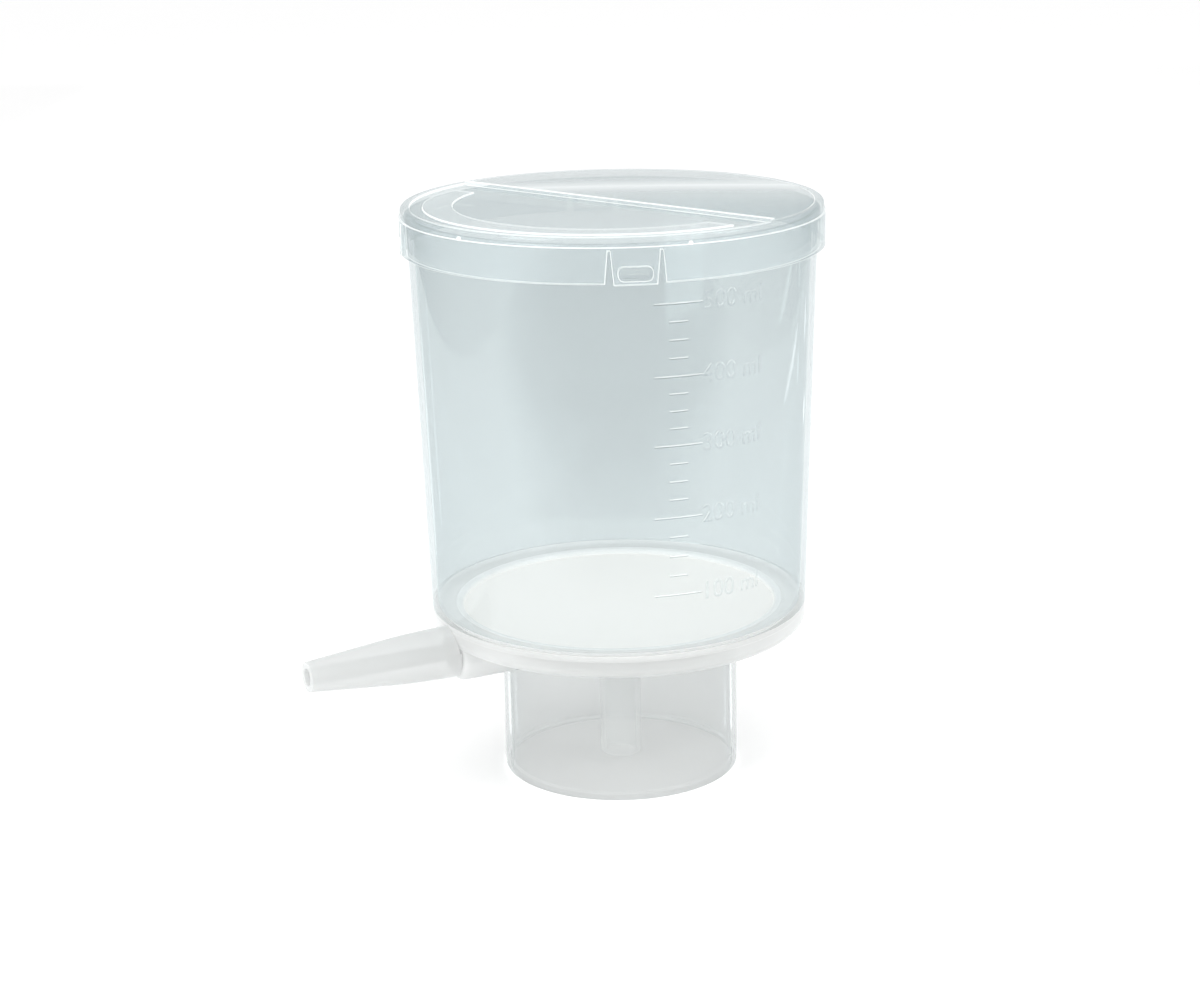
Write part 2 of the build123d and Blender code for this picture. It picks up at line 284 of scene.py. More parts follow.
def frostedPlastic(name, colour=frostLook["colour"], jointLight=None, hasThinWall=False):
    look = frostLook
    g = Graph(name)
    facing = g.facing()
    grain = g.noise(look["grain"], detail=4, rough=0.6)
    gloss = g.node("ShaderNodeBsdfAnisotropic", {}, {
        "Color": clearLook["shine"], "Roughness": look["mirrorRoughness"]})
    mirrored = look["mirror"] + (1 - look["mirror"]) * facing ** grazing
    clearPart = g.seeThrough(look["tint"], mirrored, gloss)
    light = colour
    # painted light, whiter towards the joint
    if jointLight:
        light = g.blendColour(g.between(g.along("X"), -jointLight["far"], -jointLight["near"]), colour, white)
    body = g.node("ShaderNodeBsdfPrincipled", {}, {
        "Base Color": colour,
        "Roughness": look["roughness"] + look["grainRoughness"] * grain,
        "IOR": refraction,
        "Subsurface Weight": look["depthShare"],
        "Subsurface Radius": (1, 1, 1),
        "Subsurface Scale": look["depth"] * mm,
        # painted light: the body lights itself
        "Emission Color": light,
        "Emission Strength": look["glow"],
        "Normal": g.bump(grain, look["grainDepth"], look["grainStrength"]),
    })
    thickness = look["thick"]
    if hasThinWall:
        thickness = look["thick"] - (look["thick"] - look["thin"]) * thinWall(g)
    share = thickness + look["edgeShare"] * facing ** look["edgePower"]
    return g.surface(g.mixed(share, clearPart, body))


poreLook = {"shade": 0.12, "darker": 0.8, "depth": 0.05, "strength": 0.4}


def porous(name, colour, pores, roughness, glow=0.0):
    look = poreLook
    g = Graph(name)
    grain = g.noise(pores, detail=5, rough=0.65)
    dark = [part * look["darker"] for part in colour[:3]] + [1]
    body = g.node("ShaderNodeBsdfPrincipled", {}, {
        "Base Color": g.blendColour(look["shade"] * grain, colour, dark),
        "Roughness": roughness,
        "Emission Color": colour,
        "Emission Strength": glow,
        "Normal": g.bump(grain, look["depth"], look["strength"]),
    })
    return g.surface(body)


clear = clearPlastic("clearPlastic")
raisedLines = clearPlastic("raisedLines", tint=(0.93, 0.935, 0.935, 1), milkShare=0.05)
raisedNumbers = clearPlastic("raisedNumbers", tint=(0.96, 0.965, 0.965, 1), milkShare=0.08)
lidClear = clearPlastic("lidPlastic", **lidLook)
lidHaze = clearPlastic("lidHaze", **{**lidLook, "milkShare": lidMilk["half"]})
bandHaze = clearPlastic("bandHaze", **{**lidLook, "milkShare": lidMilk["band"]})
# painted highlight for bevels, the lid bar's top, the band's edge and the nubs
edge = brightEdge("brightEdge", cover=0.68)
# cloudy white of the weld, with painted light from its glow
weld = brightEdge("weldLight", cover=0.56, patchiness=0.06, glow=0.2, milk=(0.89, 0.87, 0.86, 1))
# painted light: downward faces under the weld light themselves, as little light reaches them
weldUnder = brightEdge("weldUnderside", cover=0.95, patchiness=0.04, glow=0.13, milk=(0.89, 0.875, 0.865, 1))
# painted highlight on the lip round the membrane
lipLight = brightEdge("lipLight", cover=0.74, patchiness=0.06, glow=0.2, milk=(0.97, 0.95, 0.94, 1))
# painted light: the drip tube in the collar's shade lights itself
drain = brightEdge("drainTube", cover=0.25, patchiness=0.02, glow=0.15, milk=(0.88, 0.87, 0.865, 1))
# painted highlight on the mouth's outer edge
mouthLight = brightEdge("mouthLight", cover=0.8, patchiness=0.1, glow=0.2)
# painted highlight on upper slopes of the raised marks, painted shade on lower ones
raisedTop = brightEdge("raisedTopEdges", cover=0.42, patchiness=0.3, glow=0.3)
raisedShade = clearPlastic("raisedUnderEdges", tint=(0.60, 0.64, 0.65, 1), milkShare=0.0)
numberTop = brightEdge("numberTopEdges", cover=0.27, patchiness=0.3, glow=0.25)
numberShade = clearPlastic("numberUnderEdges", tint=(0.79, 0.815, 0.82, 1), milkShare=0.0)
frosted = frostedPlastic("frostedPlastic", jointLight=bossJointLight, hasThinWall=True)
frostedThick = frostedPlastic("frostedThick")
frostedNozzle = frostedPlastic("frostedNozzle", frostLook["nozzleColour"], nozzleJointLight)
# glow: painted light, the membrane lights itself so it stays white under the lid and walls
membraneWhite = porous("membraneWhite", (0.975, 0.915, 0.88, 1), pores=2600, roughness=0.75, glow=0.24)
padFibre = porous("padFibre", (0.88, 0.88, 0.87, 1), pores=900, roughness=0.9)
sealRubber = porous("sealRubber", (0.80, 0.80, 0.78, 1), pores=500, roughness=0.6)
print("materials made")


# Making pieces
roundSteps = 5  # faces across a rounding
past = 1  # how far, in millimetres, a cut reaches past what it cuts


def smoothObject(name, bm, *materials, angle=32):
    made = bpy.data.objects.new(name, bpy.data.meshes.new(name))
    bpy.context.scene.collection.objects.link(made)
    for material in materials:
        made.data.materials.append(material)
    bm.to_mesh(made.data)
    bm.free()
    smoothShade(made, angle)
    return made


def smoothShade(piece, angle):
    piece.data.shade_smooth()
    piece.data.set_sharp_from_angle(angle=math.radians(angle))


def slotNumbers(finishes):
    return {name: number for number, name in enumerate(finishes)}


def turned(degrees, size=3):
    return Matrix.Rotation(math.radians(degrees), size, "Z")


def wholeOf(bm):
    return bm.verts[:] + bm.edges[:] + bm.faces[:]


def mount(piece, body, slot, *nodes):
    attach(piece, body)
    if nodes:
        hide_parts(*nodes)


# Funnel, all sizes in millimetres and degrees
funnelSize = {
    "wall": 1.4,
    "beadProud": 0.2,
    "beadHeight": 2.0,
    "ledgeRise": 0.8,  # inner corner of the floor above the weld seam
    "ledgeRound": 1.2,
    "ledgeMilk": 0.7,  # the floor is clouded, with painted light, up to here above its corner
    "lipInset": 0.45,  # lip over the membrane's edge
    "lipWidth": 2.1,
    "lipRise": 1.15,
    "lipRound": 0.7,
    "lipOuterRound": 0.5,
    "lipBare": 0.3,  # outer edge of the lip without its finish
    "rimRound": 0.3,
    "weldInset": 2.9,  # tongue of the weld from the outer wall
    "weldHeight": 1.3,  # the weld clouds the foot of the wall up to here, with painted light
    "play": 0.05,  # beside the membrane and the base's rim
    "landPlay": 0.03,  # above the base's land
    "near": 0.2,  # how close to a corner a face still counts as beside it
    "turns": 256,
}
funnelSurfacesAndLight = {"wall": clear, "weld": weld, "lip": lipLight, "foot": frostedThick, "underside": weldUnder}
rimWall = beadRadius - funnelSize["beadProud"] * mm
wallSlope = (rimWall - flangeRadius) / (rimZ - seamZ)


def wallRadius(z):
    return flangeRadius + (z - seamZ) * wallSlope


def outlineBody(points, rounds, turns, closed=True):
    # points are (radius, height) in millimetres, rounds are {corner: length of its rounding}
    bm = bmesh.new()
    corners = [bm.verts.new((radius * mm, 0, height * mm)) for radius, height in points]
    ends = corners[1:] + corners[:1] if closed else corners[1:]
    for one, two in zip(corners, ends):
        bm.edges.new((one, two))
    for corner, length in rounds.items():
        bmesh.ops.bevel(bm, geom=[corners[corner]], offset=length * mm, offset_type="OFFSET",
                        affect="VERTICES", segments=roundSteps, profile=0.5, material=-1,
                        clamp_overlap=True)
    bmesh.ops.spin(bm, geom=bm.verts[:] + bm.edges[:], cent=(0, 0, 0), axis=(0, 0, 1),
                   dvec=(0, 0, 0), angle=2 * math.pi, steps=turns,
                   use_merge=True, use_duplicate=False, use_normal_flip=False)
    bmesh.ops.remove_doubles(bm, verts=bm.verts[:], dist=0.001 * mm)
    bmesh.ops.recalc_face_normals(bm, faces=bm.faces[:])
    return bm


def funnelBody():
    f = funnelSize
    seam, rim, land, membrane = seamZ / mm, rimZ / mm, landZ / mm, membraneTop / mm
    flange = flangeRadius / mm
    ledge = seam + f["ledgeRise"]
    lip = membraneRadius / mm - f["lipInset"]
    bead = rim - f["beadHeight"]
    points = [
        (lip + f["lipInset"] + f["play"], land + f["landPlay"]),
        (flange - f["weldInset"] - f["play"], land + f["landPlay"]),
        (flange - f["weldInset"] - f["play"], seam),
        (flange, seam),
        (wallRadius((seam + f["weldHeight"]) * mm) / mm, seam + f["weldHeight"]),
        (wallRadius((bead - f["beadProud"]) * mm) / mm, bead - f["beadProud"]),
        (beadRadius / mm, bead),
        (beadRadius / mm, rim),
        (rimWall / mm - f["wall"], rim),
        (wallRadius(ledge * mm) / mm - f["wall"], ledge),
        (lip + f["lipWidth"], membrane + f["lipRise"]),
        (lip, membrane + f["lipRise"]),
        (lip, membrane),
        (lip + f["lipInset"] + f["play"], membrane),
    ]
    rounds = {7: f["rimRound"], 8: f["rimRound"], 9: f["ledgeRound"]}
    rounds.update({10: f["lipOuterRound"], 11: f["lipRound"]})
    bm = outlineBody(points, rounds, f["turns"])
    slots = slotNumbers(funnelSurfacesAndLight)
    for face in bm.faces:
        middle = face.calc_center_median() / mm
        radius = middle.to_2d().length
        inside = radius < flange - f["wall"] - f["near"] / 2
        # faces near the weld: cloudy weld with painted light
        if middle.z < seam + (f["ledgeRise"] + f["ledgeMilk"] if inside else f["weldHeight"]):
            face.material_index = slots["weld" if radius < flange - f["near"] else "foot"]
        # lip faces: painted highlight
        if radius < lip + f["lipWidth"] - f["lipBare"] and middle.z > membrane + f["near"]:
            face.material_index = slots["lip"]
        # downward faces under the weld: painted light
        if middle.z < seam + f["play"] and face.normal.z < -0.5:
            face.material_index = slots["underside"]
    return bm


funnel = smoothObject("funnel_moulding", funnelBody(), *funnelSurfacesAndLight.values(), angle=40)
print("funnel wall made")

# Graduations: raised lines and numbers on the funnel
scale = {
    "heights": {100: 15.4, 200: 33.3, 300: 49.7, 400: 65.2, 500: 81.3},  # above the membrane
    "angle": -99.3,
    "longWidth": 11.0,
    "shortWidth": 4.2,
    "between": 3,  # short lines from one long one to the next
    "thickness": 0.5,
    "ridge": 0.2,  # share of it left at the top of a line
    "proud": 0.2,
    "sunk": 0.1,
    "textAngle": -92.6,  # where the numbers start
    "textSize": 5.8,
    "textThin": 0.1,  # taken off each side of a stroke
    "textProud": 0.24,
    "textRound": 0.12,
    "slope": 0.3,  # faces that lean more than this get a painted highlight above, painted shade below
}


def ringPiece(bm, points, start, sweep, steps):
    # a block with this outline in the radius and height plane, swept through part of a turn
    corners = [bm.verts.new((radius * mm, 0, height * mm)) for radius, height in points]
    face = bm.faces.new(corners)
    bmesh.ops.rotate(bm, verts=corners, cent=(0, 0, 0), matrix=turned(start))
    bmesh.ops.spin(bm, geom=corners + list(face.edges) + [face], cent=(0, 0, 0), axis=(0, 0, 1),
                   dvec=(0, 0, 0), angle=math.radians(sweep), steps=steps,
                   use_merge=False, use_duplicate=False, use_normal_flip=False)


def graduationLines():
    bm = bmesh.new()
    heights = [scale["heights"][number] for number in sorted(scale["heights"])]
    marks = [(heights[0], scale["longWidth"])]
    for low, high in zip(heights, heights[1:]):
        step = (high - low) / (scale["between"] + 1)
        marks += [(low + step * (i + 1), scale["shortWidth"]) for i in range(scale["between"])]
        marks += [(high, scale["longWidth"])]
    half = scale["thickness"] / 2
    ridge = half * scale["ridge"]
    for height, width in marks:
        z = membraneTop / mm + height
        out = wallRadius(z * mm) / mm
        sweep = math.degrees(width / out)
        ringPiece(bm, [(out - scale["sunk"], z - half), (out + scale["proud"], z - ridge),
                       (out + scale["proud"], z + ridge), (out - scale["sunk"], z + half)],
                  scale["angle"] - sweep / 2, sweep, max(4, round(sweep)))
    bmesh.ops.recalc_face_normals(bm, faces=bm.faces[:])
    return bm


def raisedMarks(name, bm, front, top, shade):
    # painted highlight on upper slopes, painted shade on lower ones
    bm.normal_update()
    for face in bm.faces:
        lean = face.normal.z
        face.material_index = 1 if lean > scale["slope"] else 2 if lean < -scale["slope"] else 0
    mount(smoothObject(name, bm, front, top, shade, angle=30), "housing", "clear_plastic")


def numberMesh(text):
    curve = bpy.data.curves.new("number", "FONT")
    curve.body = text
    curve.size = scale["textSize"] * mm
    curve.align_y = "CENTER"
    curve.extrude = (scale["textProud"] / 2 - scale["textRound"]) * mm
    curve.bevel_depth = scale["textRound"] * mm
    curve.bevel_resolution = 2
    curve.offset = -scale["textThin"] * mm
    curve.resolution_u = 6
    holder = bpy.data.objects.new("number", curve)
    bpy.context.scene.collection.objects.link(holder)
    mesh = bpy.data.meshes.new_from_object(holder.evaluated_get(bpy.context.evaluated_depsgraph_get()))
    bpy.data.objects.remove(holder)
    return mesh


def graduationNumbers():
    bm = bmesh.new()
    for number, height in scale["heights"].items():
        before = len(bm.verts)
        bm.from_mesh(numberMesh(str(number) + " ml"))
        bm.verts.ensure_lookup_table()
        z = membraneTop + height * mm
        for vert in bm.verts[before:]:
            level = z + vert.co.y
            out = wallRadius(level) + scale["textProud"] / 2 * mm + vert.co.z
            turn = math.radians(scale["textAngle"]) + vert.co.x / wallRadius(z)
            vert.co = (out * math.cos(turn), out * math.sin(turn), level)
    bmesh.ops.remove_doubles(bm, verts=bm.verts[:], dist=0.001 * mm)
    return bm


raisedMarks("graduation_lines", graduationLines(), raisedLines, raisedTop, raisedShade)
raisedMarks("graduation_numbers", graduationNumbers(), raisedNumbers, numberTop, numberShade)
print("graduations made")

# Lid
lidSize = {
    "clearance": 0.3,  # round the funnel's bead
    "skirtDepth": 8.3,
    "tabDrop": 0.3,
    "shoulderDrop": 2.25,
    "shoulderStep": 0.35,
    "edgeRound": 0.8,
    "innerRound": 0.4,
    "crownProud": 0.3,  # the bar stands this far above the top
    "lipWidth": 2.15,
    "grooveWidth": 0.5,
    "grooveDepth": 0.2,
    "sunkDepth": 0.6,
    "barAngle": 112.2,
    "barWidth": 1.1,
    "barEndGap": 2.0,
    "bandInner": 36.5,
    "bandWidth": 6.8,
    "bandHeight": 0.4,
    "bandEndGap": 8.7,
    "tabs": 4,
    "tabAngle": -110.9,
    "tabHalfWidth": 5.65,
    "notchWidth": 2.2,
    "notchTip": 0.5,
    "notchHeight": 7.1,
    "windowWidth": 7.4,
    "windowHeight": 3.0,
    "windowRound": 1.2,
    "windowRise": 2.1,
    "nubAngles": (-159.6, -96.6),
    "nubRadius": 0.5,
    "edgeSoftness": 0.17,
    "rooted": 0.1,  # how deep the bar and the band sink into the floor
    "cutReach": 6,  # length of a cutting block through the skirt
    "cutBelow": 2,  # how far below the skirt it starts
    "turns": 240,
}
lidSurfacesAndLight = {"plain": lidClear, "bright": edge, "half": lidHaze, "band": bandHaze}
lidTop = lidHigh.z / mm - lidSize["crownProud"]
lidInner = beadRadius / mm + lidSize["clearance"]
lidOuter = lidRadius / mm
lidCrown = lidOuter - lidSize["shoulderStep"]
skirtEnd = rimZ / mm - lidSize["skirtDepth"]
sunkRadius = lidCrown - lidSize["lipWidth"]
sunkFloor = lidTop - lidSize["sunkDepth"]


def lidShell():
    low = skirtEnd - lidSize["tabDrop"]
    shoulder = lidTop - lidSize["shoulderDrop"]
    groove = lidSize["grooveWidth"] / 2
    points = [
        (0, rimZ / mm),
        (lidInner, rimZ / mm),
        (lidInner, low),
        (lidOuter, low),
        (lidOuter, shoulder),
        (lidCrown, shoulder),
        (lidCrown, lidTop),
        (sunkRadius + groove, lidTop),
        (sunkRadius, lidTop - lidSize["grooveDepth"]),
        (sunkRadius - groove, lidTop),
        (0, lidTop),
    ]
    rounds = {1: lidSize["innerRound"], 6: lidSize["edgeRound"]}
    return outlineBody(points, rounds, lidSize["turns"], closed=False)


def block(bm, size, place, turn=0):
    # a box of this size, its middle at this place, then turned about the upright axis
    made = bmesh.ops.create_cube(bm, size=1)["verts"]
    bmesh.ops.scale(bm, verts=made, vec=Vector(size) * mm)
    bmesh.ops.translate(bm, verts=made, vec=Vector(place) * mm)
    bmesh.ops.rotate(bm, verts=made, cent=(0, 0, 0), matrix=turned(turn))
    return made


def tabTurns():
    return [lidSize["tabAngle"] + tab * 360 / lidSize["tabs"] for tab in range(lidSize["tabs"])]


def skirtGaps():
    # between the tabs the skirt is a little shorter
    bm = bmesh.new()
    low = skirtEnd - lidSize["cutBelow"]
    inner, outer = lidInner - past, lidOuter + past
    outline = [(inner, low), (outer, low), (outer, skirtEnd), (inner, skirtEnd)]
    span = 2 * math.degrees(math.asin(lidSize["tabHalfWidth"] / lidOuter))
    steps = lidSize["turns"] // lidSize["tabs"]
    for turn in tabTurns():
        ringPiece(bm, outline, turn + span / 2, 360 / lidSize["tabs"] - span, steps)
    return bm


def notches():
    # one each side of each tab, narrow at the top
    bm = bmesh.new()
    height = lidSize["notchHeight"] + lidSize["cutBelow"]
    for side in (-1, 1):
        across = side * lidSize["tabHalfWidth"]
        made = block(bm, (lidSize["cutReach"], lidSize["notchWidth"], height),
                     (lidOuter, across, skirtEnd + height / 2 - lidSize["cutBelow"]))
        upper = sorted(made, key=lambda vert: vert.co.z)[4:]
        bmesh.ops.scale(bm, verts=upper, vec=(1, lidSize["notchTip"] / lidSize["notchWidth"], 1),
                        space=Matrix.Translation((0, -across * mm, 0)))
    return bm


def windows():
    # one in the middle of each tab, with rounded corners
    bm = bmesh.new()
    block(bm, (lidSize["cutReach"], lidSize["windowWidth"], lidSize["windowHeight"]),
          (lidOuter, 0, skirtEnd + lidSize["windowRise"]))
    corners = [line for line in bm.edges if abs(line.verts[0].co.x - line.verts[1].co.x) > mm]
    bmesh.ops.bevel(bm, geom=corners, offset=lidSize["windowRound"] * mm, offset_type="OFFSET",
                    affect="EDGES", segments=roundSteps, profile=0.5, material=-1, clamp_overlap=True)
    return bm


def atEachTab(bm):
    # repeats what was made at angle 0 at each tab
    first = wholeOf(bm)
    copies = [bmesh.ops.duplicate(bm, geom=first)["geom"] for turn in tabTurns()[1:]]
    for turn, parts in zip(tabTurns(), [first] + copies):
        verts = [part for part in parts if isinstance(part, bmesh.types.BMVert)]
        bmesh.ops.rotate(bm, verts=verts, cent=(0, 0, 0), matrix=turned(turn))
    return bm


def halfRing(outer, inner, low, high, gap=0):
    # the part of a disc or ring that lies past a line beside the bar
    bm = bmesh.new()
    outline = [(inner, low), (outer, low), (outer, high), (inner, high)]
    ringPiece(bm, outline, start=0, sweep=180, steps=lidSize["turns"] // 2)
    bmesh.ops.remove_doubles(bm, verts=bm.verts[:], dist=0.001 * mm)
    if gap:
        cutOff(bm, (0, gap, 0), (0, 1, 0), clear_inner=True)
    bmesh.ops.rotate(bm, verts=bm.verts[:], cent=(0, 0, 0), matrix=turned(lidSize["barAngle"]))
    return bm


def cutOff(bm, place, across, **side):
    # takes off what lies on this side of a plane and closes the cut
    cut = bmesh.ops.bisect_plane(bm, geom=wholeOf(bm), plane_co=Vector(place) * mm, plane_no=across, **side)
    rims = [part for part in cut["geom_cut"] if isinstance(part, bmesh.types.BMEdge)]
    bmesh.ops.holes_fill(bm, edges=rims)


def raisedBand():
    return halfRing(lidSize["bandInner"] + lidSize["bandWidth"], lidSize["bandInner"],
                    sunkFloor - lidSize["rooted"], sunkFloor + lidSize["bandHeight"], lidSize["bandEndGap"])


def crossBar():
    bm = bmesh.new()
    low, high = sunkFloor - lidSize["rooted"], lidTop + lidSize["crownProud"]
    length = 2 * (lidCrown - lidSize["barEndGap"])
    block(bm, (length, lidSize["barWidth"], high - low), (0, 0, (high + low) / 2), lidSize["barAngle"])
    return bm


def addNubs(bm, slot):
    # small gate marks on the shoulder, in the bright slot: painted highlight
    place = Vector((lidCrown, 0, lidTop - lidSize["shoulderDrop"] + lidSize["nubRadius"] / 2)) * mm
    for angle in lidSize["nubAngles"]:
        nub = bmesh.ops.create_icosphere(bm, subdivisions=3, radius=lidSize["nubRadius"] * mm)["verts"]
        bmesh.ops.translate(bm, verts=nub, vec=turned(angle) @ place)
        for vert in nub:
            for face in vert.link_faces:
                face.material_index = slot


def combine(target, bm, operation):
    bmesh.ops.recalc_face_normals(bm, faces=bm.faces[:])
    tool = smoothObject("tool", bm, clear)
    step = target.modifiers.new("combine", "BOOLEAN")
    step.operation = operation
    step.solver = "EXACT"
    step.object = tool
    done = bpy.data.meshes.new_from_object(target.evaluated_get(bpy.context.evaluated_depsgraph_get()))
    target.modifiers.clear()
    target.data = done
    bpy.data.objects.remove(tool)


# slivers left by the cuts would keep the edges from rounding
sliver = {"doubles": 0.02, "flatAngle": 0.4, "narrow": 0.05, "thin": 0.03}


def withoutSlivers(target):
    bm = bmesh.new()
    bm.from_mesh(target.data)
    flatAngle = math.radians(sliver["flatAngle"])
    bmesh.ops.remove_doubles(bm, verts=bm.verts[:], dist=sliver["doubles"] * mm)
    bmesh.ops.dissolve_limit(bm, angle_limit=flatAngle, verts=bm.verts[:], edges=bm.edges[:])
    bmesh.ops.remove_doubles(bm, verts=bm.verts[:], dist=sliver["narrow"] * mm)
    bmesh.ops.dissolve_degenerate(bm, dist=sliver["thin"] * mm, edges=bm.edges[:])
    bmesh.ops.delete(bm, geom=[part for part in bm.edges if not part.link_faces], context="EDGES")
    return bm


def replaceMesh(piece, bm):
    bm.to_mesh(piece.data)
    bm.free()


def softEdges(piece, width, angle=40, brightSlot=-1):
    smoothShade(piece, angle)
    soft = piece.modifiers.new("softEdges", "BEVEL")
    soft.width = width * mm
    soft.segments = 2
    soft.limit_method = "ANGLE"
    soft.angle_limit = math.radians(angle)
    soft.harden_normals = True
    # bevel faces take the bright slot: painted highlight
    soft.material = brightSlot


def finishTop(bm, slots):
    # raised half milky, band whiter, the band's edge and the bar's top bright: painted highlight
    beside = turned(lidSize["barAngle"]) @ Vector((0, 1, 0))
    bandTop = sunkFloor + lidSize["bandHeight"]
    for face in bm.faces:
        middle = face.calc_center_median() / mm
        inside = middle.to_2d().length < lidCrown - lidSize["edgeRound"] / 2
        if inside and middle.z > sunkFloor + lidSize["rooted"] / 2:
            upright = abs(face.normal.z) < 0.5 and abs(middle.dot(beside)) > lidSize["barWidth"]
            onBar = middle.z > lidTop + lidSize["crownProud"] / 2
            onBand = middle.z < bandTop + lidSize["rooted"] / 2
            face.material_index = slots["bright" if upright or onBar else "band" if onBand else "half"]


lid = smoothObject("lid_moulding", lidShell(), *lidSurfacesAndLight.values())
for tool in (skirtGaps(), atEachTab(notches()), atEachTab(windows()),
             halfRing(sunkRadius, 0, sunkFloor, lidTop + past)):
    combine(lid, tool, "DIFFERENCE")
combine(lid, raisedBand(), "UNION")
combine(lid, crossBar(), "UNION")
bm = withoutSlivers(lid)
lidSlots = slotNumbers(lidSurfacesAndLight)
finishTop(bm, lidSlots)
addNubs(bm, lidSlots["bright"])
replaceMesh(lid, bm)
softEdges(lid, lidSize["edgeSoftness"], brightSlot=lidSlots["bright"])
mount(lid, "lid", "clear_plastic", "lid")
print("lid made,", len(lid.data.polygons), "faces")

# Lugs of the funnel, which the windows of the lid's tabs hook over
lugSize = {
    "gap": 0.4,
    "clearance": 0.15,
    "catch": 0.9,
    "sunk": 1.2,
    "edgeRound": 0.22,
    "roundSteps": 3,
    "near": 0.1,  # edges this close to a lug's face are rounded
    "turns": 12,
}


def lugs():
    # flat below, sloped above
    bm = bmesh.new()
    half = lidSize["windowHeight"] / 2 - lugSize["gap"]
    arc = 2 * math.degrees(math.asin((lidSize["windowWidth"] / 2 - lugSize["gap"]) / lidInner))
    middle = skirtEnd + lidSize["windowRise"]
    inner, outer = rimWall / mm - lugSize["sunk"], lidInner - lugSize["clearance"]
    outline = [(inner, middle - half), (outer, middle - half), (outer, middle - half + lugSize["catch"]),
               (inner, middle + 2 * half)]
    for turn in tabTurns():
        ringPiece(bm, outline, turn - arc / 2, arc, lugSize["turns"])
    bmesh.ops.recalc_face_normals(bm, faces=bm.faces[:])
    corners = [line for line in bm.edges if line.calc_face_angle(0) > math.radians(30)
               and max(vert.co.to_2d().length for vert in line.verts) > (outer - lugSize["near"]) * mm]
    bmesh.ops.bevel(bm, geom=corners, offset=lugSize["edgeRound"] * mm, offset_type="OFFSET",
                    affect="EDGES", segments=lugSize["roundSteps"], profile=0.5, material=-1,
                    clamp_overlap=True)
    return bm


combine(funnel, lugs(), "UNION")
smoothShade(funnel, angle=40)
mount(funnel, "housing", "clear_plastic", "funnel")
print("lugs joined,", len(funnel.data.polygons), "faces in the funnel")

# Base: collar, flange, dish with ribs, drip tube, hose boss and vacuum passage
baseSize = {
    "collarInside": 26.65,
    "collarOutside": 28.05,
    "collarTop": 36.7,
    "collarTopInside": 26.47,
    "mouthWider": 0.3,
    "mouthDepth": 2.0,
    "mouthRound": 0.3,
    "mouthTaper": 0.05,
    "mouthBand": 0.9,  # painted highlight on the mouth's edge up to here
    "rootRound": 0.7,
    "flangeRound": 2.4,
    "weldRim": 2.9,
    "seat": 0.9,
    "floor": 38.4,
    "floorFall": 0.5,
    "drainMouth": 5.65,
    "drainFlare": 2.0,
    "tubeOutside": 4.95,
    "tubeInside": 3.65,
    "tubeEnd": 2.35,
    "tubeRound": 0.35,
    "outletHeight": 35.5,
    "bossRadius": 7.15,
    "bossFace": 43.6,
    "bossRound": 2.2,
    "bossRooted": 0.3,  # start inside the collar's wall
    "bossTop": 0.85,  # cut flat this far above the flange's underside
    "ductRadius": 2.85,
    "ductRooted": (0.15, 0.5),  # past the drain's mouth and the collar's wall
    "socketRadius": 3.62,
    "socketDepth": 6.5,
    "outletBore": 2.0,
    "portRadius": 1.7,
    "portAt": 11.0,
    "portDepth": 6,
    "boreStart": 2.5,  # before the port
    "seatRing": 15.2,
    "seatRingWall": 1.2,
    "seatHeight": 32.5,
    "seatRibs": 8,
    "ribWidth": 1.0,
    "ribRoot": 0.5,
    "ribCount": 12,  # of each kind
    "ribStarts": ((8.6, 0), (16.0, 0.5), (27.0, 0.25), (27.0, 0.75)),  # inner end, how far to the next
    "edgeSoftness": 0.15,
    "near": 0.1,  # how close to a corner a face still counts as beside it
    "turns": 256,
    "rodTurns": 64,
}
baseSurfacesAndLight = {"plain": frosted, "bright": edge, "drain": drain, "mouth": mouthLight}
socketEnd = baseSize["bossFace"] - baseSize["socketDepth"]


def baseForm():
    # collar, flange, dish and drip tube in one outline
    b = baseSize
    land, seam, flange = landZ / mm, seamZ / mm, flangeRadius / mm
    dish = membraneRadius / mm - b["seat"]
    points = [
        (b["collarInside"] + b["mouthWider"], 0),
        (b["collarOutside"] - b["mouthTaper"], 0),
        (b["collarOutside"], b["mouthBand"]),
        (b["collarOutside"], b["collarTop"]),
        (flange, b["collarTop"]),
        (flange, seam),
        (flange - b["weldRim"], seam),
        (flange - b["weldRim"], land),
        (dish, land),
        (dish, b["floor"] + b["floorFall"]),
        (b["drainMouth"], b["floor"]),
        (b["tubeInside"], b["floor"] - b["drainFlare"]),
        (b["tubeInside"], b["tubeEnd"]),
        (b["tubeOutside"], b["tubeEnd"]),
        (b["tubeOutside"], b["collarTop"]),
        (b["collarTopInside"], b["collarTop"]),
        (b["collarInside"], b["mouthDepth"] + b["mouthWider"]),
        (b["collarInside"] + b["mouthWider"], b["mouthDepth"]),
    ]
    rounds = {1: b["mouthRound"], 3: b["rootRound"], 4: b["flangeRound"], 13: b["tubeRound"]}
    return outlineBody(points, rounds, b["turns"])


def alongOutlet(points, rounds=None, turns=96):
    # points are (distance out from the axis, radius about the outlet), the body lies along -X
    bm = outlineBody([(radius, out) for out, radius in points], rounds or {}, turns, closed=False)
    bmesh.ops.rotate(bm, verts=bm.verts[:], cent=(0, 0, 0), matrix=Matrix.Rotation(-math.pi / 2, 3, "Y"))
    bmesh.ops.translate(bm, verts=bm.verts[:], vec=(0, 0, baseSize["outletHeight"] * mm))
    bmesh.ops.recalc_face_normals(bm, faces=bm.faces[:])
    return bm


